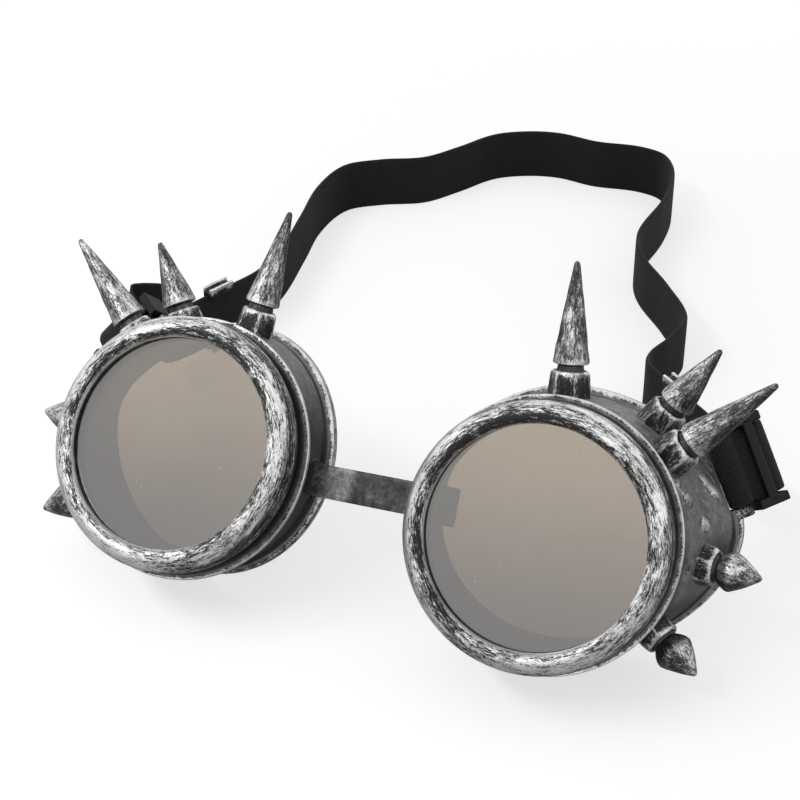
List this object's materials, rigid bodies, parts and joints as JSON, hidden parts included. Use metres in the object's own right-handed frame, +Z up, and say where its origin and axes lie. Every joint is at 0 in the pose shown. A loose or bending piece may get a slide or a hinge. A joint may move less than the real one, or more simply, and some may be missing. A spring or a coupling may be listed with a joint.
{
  "type": "spiked round-lens goggles",
  "caption": "Costume goggles with round tinted lenses in screw-on rings, spiked oval eye cups, a flexible bridge strip and an elastic head strap lying on a table.",
  "frame": {"origin": "centre of the bounding box, on the table the goggles lie on", "axes": "+X along the line of the two lenses towards the cup at the right of the picture, +Y back from the lenses to the strap, +Z up"},
  "size_m": [0.1934, 0.2836, 0.0883],
  "materials": {
    "antique_silver": "antique silver paint over black, worn on the high spots",
    "spike_silver": "antique silver plating with dark streaks",
    "lens_tint": "clear taupe tint",
    "gasket_black": "matt",
    "bridge_black": "semi-gloss",
    "strap_black": "woven elastic, matt",
    "slider_black": "moulded, satin",
    "slide_steel": "polished"
  },
  "bodies": {
    "strap_and_bridge": {"bridge_strip": "bridge_black", "head_strap": "strap_black"},
    "right_cup": {"right_eye_cup": "antique_silver", "right_spike_top": "spike_silver", "right_spike_brow_rear": "spike_silver", "right_spike_brow_front": "spike_silver", "right_stud_side": "spike_silver", "right_stud_low": "spike_silver", "right_strap_slider": "slider_black"},
    "right_lens_pack": {"right_lens": "lens_tint", "right_lens_gasket": "gasket_black"},
    "right_ring": {"right_front_ring": "antique_silver"},
    "right_slide": {"right_metal_slide": "slide_steel"},
    "left_cup": {"left_eye_cup": "antique_silver", "left_spike_top": "spike_silver", "left_spike_brow_rear": "spike_silver", "left_spike_brow_front": "spike_silver", "left_stud_side": "spike_silver", "left_stud_low": "spike_silver", "left_strap_slider": "slider_black"},
    "left_lens_pack": {"left_lens": "lens_tint", "left_lens_gasket": "gasket_black"},
    "left_ring": {"left_front_ring": "antique_silver"},
    "left_slide": {"left_metal_slide": "slide_steel"}
  },
  "joints": [
    {"name": "right_cup_flex", "type": "hinge", "parent": "strap_and_bridge", "child": "right_cup", "pos_m": [0.01631, -0.10774, 0.0342], "axis": [-0.019, 0.5072, 0.8616], "range_deg": [-8, 8], "stiffness_Nm_per_rad": 0.06, "deforming": ["head_strap"]},
    {"name": "right_lens_travel", "type": "slide", "parent": "right_cup", "child": "right_lens_pack", "axis": [0.0323, -0.861, 0.5075], "range_m": [0, 0.004]},
    {"name": "right_ring_turn", "type": "hinge", "parent": "right_lens_pack", "child": "right_ring", "pos_m": [0.04829, -0.12203, 0.0424], "axis": [0.0323, -0.861, 0.5075], "range_deg": [0, 720]},
    {"name": "right_slide_along", "type": "slide", "parent": "strap_and_bridge", "child": "right_slide", "axis": [0.766, -0.6428, 0], "range_m": [-0.006, 0.006]},
    {"name": "left_cup_flex", "type": "hinge", "parent": "strap_and_bridge", "child": "left_cup", "pos_m": [-0.01276, -0.10892, 0.03376], "axis": [0.023, 0.6139, 0.7891], "range_deg": [-8, 8], "stiffness_Nm_per_rad": 0.06, "deforming": ["head_strap"]},
    {"name": "left_lens_travel", "type": "slide", "parent": "left_cup", "child": "left_lens_pack", "axis": [-0.0296, -0.7885, 0.6143], "range_m": [0, 0.004]},
    {"name": "left_ring_turn", "type": "hinge", "parent": "left_lens_pack", "child": "left_ring", "pos_m": [-0.04471, -0.12203, 0.04387], "axis": [-0.0296, -0.7885, 0.6143], "range_deg": [0, 720]},
    {"name": "left_slide_along", "type": "slide", "parent": "strap_and_bridge", "child": "left_slide", "axis": [0.342, 0.9397, 0], "range_m": [-0.006, 0.006]}
  ],
  "couplings": [
    {"joint": "right_ring_turn", "follows": "right_lens_travel", "rad_per_m": 3141.6},
    {"joint": "left_ring_turn", "follows": "left_lens_travel", "rad_per_m": 3141.6}
  ]
}
